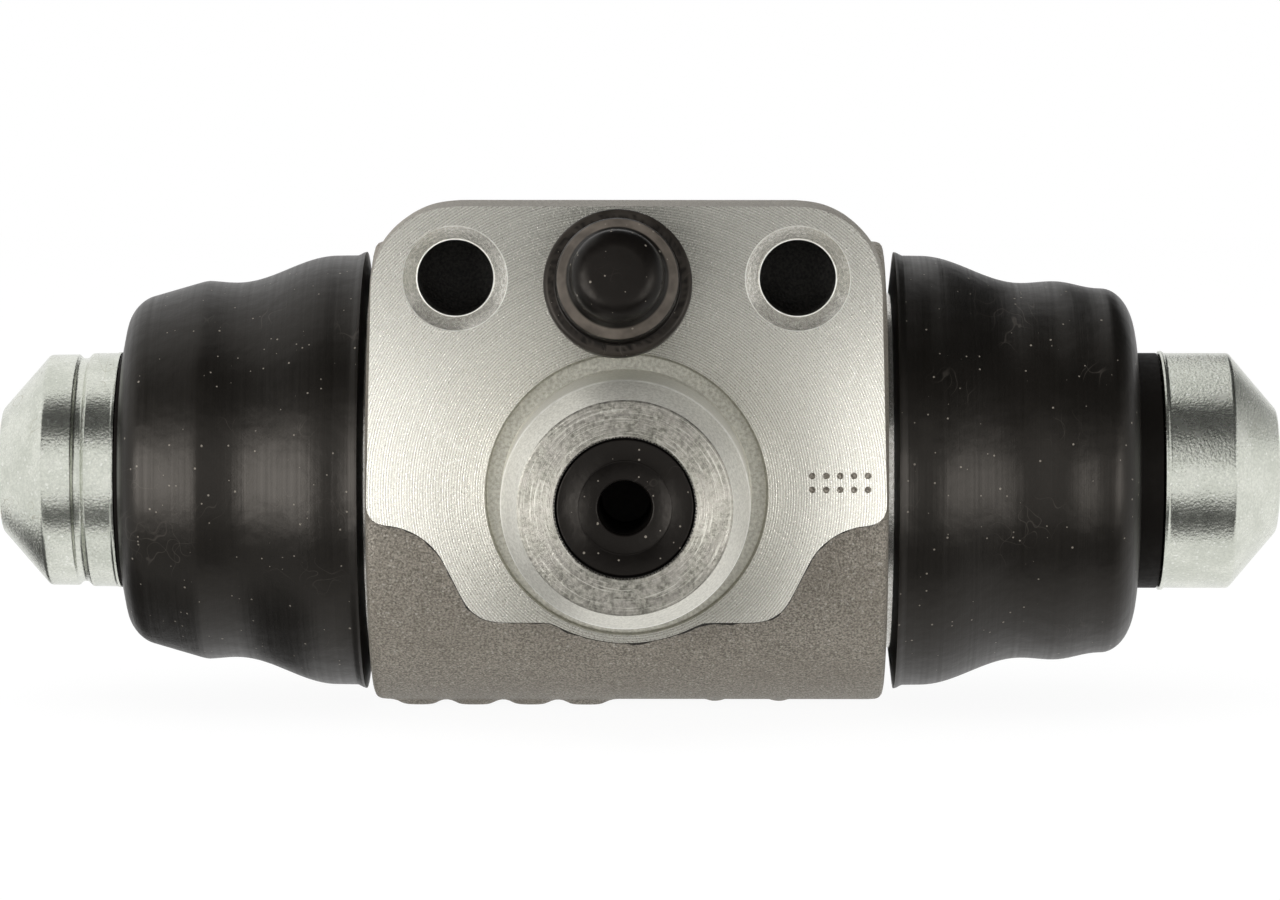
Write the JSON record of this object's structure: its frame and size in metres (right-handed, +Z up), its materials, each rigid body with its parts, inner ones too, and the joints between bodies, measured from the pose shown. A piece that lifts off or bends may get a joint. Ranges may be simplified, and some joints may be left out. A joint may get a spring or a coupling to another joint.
{
  "type": "wheel cylinder",
  "caption": "Hydraulic wheel cylinder for a drum brake: cast housing with a pilot boss, opposed pistons under rubber boots, a bleed screw and a plugged line port.",
  "frame": {"origin": "on the machined mounting face, at the centre of the pilot boss", "axes": "+X along the bore towards the right piston, -Y out of the mounting face along the boss, +Z up towards the bolts"},
  "size_m": [0.0856, 0.0429, 0.0345],
  "materials": {
    "cast_housing": "grainy as cast tube, lathe-turned pale grey mounting face and boss",
    "plated_steel": "bright zinc plating with a faint green cast",
    "seal_rubber": "smooth black rubber",
    "spring_steel": "drawn spring wire",
    "boot_rubber": "moulded black rubber with a dusty sheen",
    "cap_rubber": "moulded black rubber with dust specks"
  },
  "bodies": {
    "housing": {"housing": "cast_housing", "boot_left": "boot_rubber", "boot_right": "boot_rubber", "return_spring": "spring_steel", "port_plug": "cap_rubber"},
    "piston_left": {"piston_left": "plated_steel", "seal_left": "seal_rubber"},
    "piston_right": {"piston_right": "plated_steel", "seal_right": "seal_rubber"},
    "bleed_screw": {"bleed_screw": "plated_steel", "bleed_cap": "cap_rubber"}
  },
  "joints": [
    {"name": "left_piston_slide", "type": "slide", "parent": "housing", "child": "piston_left", "axis": [-1, 0, 0], "range_m": [-0.00375, 0.00625], "deforming": ["boot_left", "return_spring"]},
    {"name": "right_piston_slide", "type": "slide", "parent": "housing", "child": "piston_right", "axis": [1, 0, 0], "range_m": [-0.00515, 0.00485], "deforming": ["boot_right", "return_spring"]},
    {"name": "bleed_screw_turn", "type": "hinge", "parent": "housing", "child": "bleed_screw", "pos_m": [-0.0005, 0, 0.01295], "axis": [0, -0.9801, 0.1987], "range_deg": [0, 270]}
  ]
}
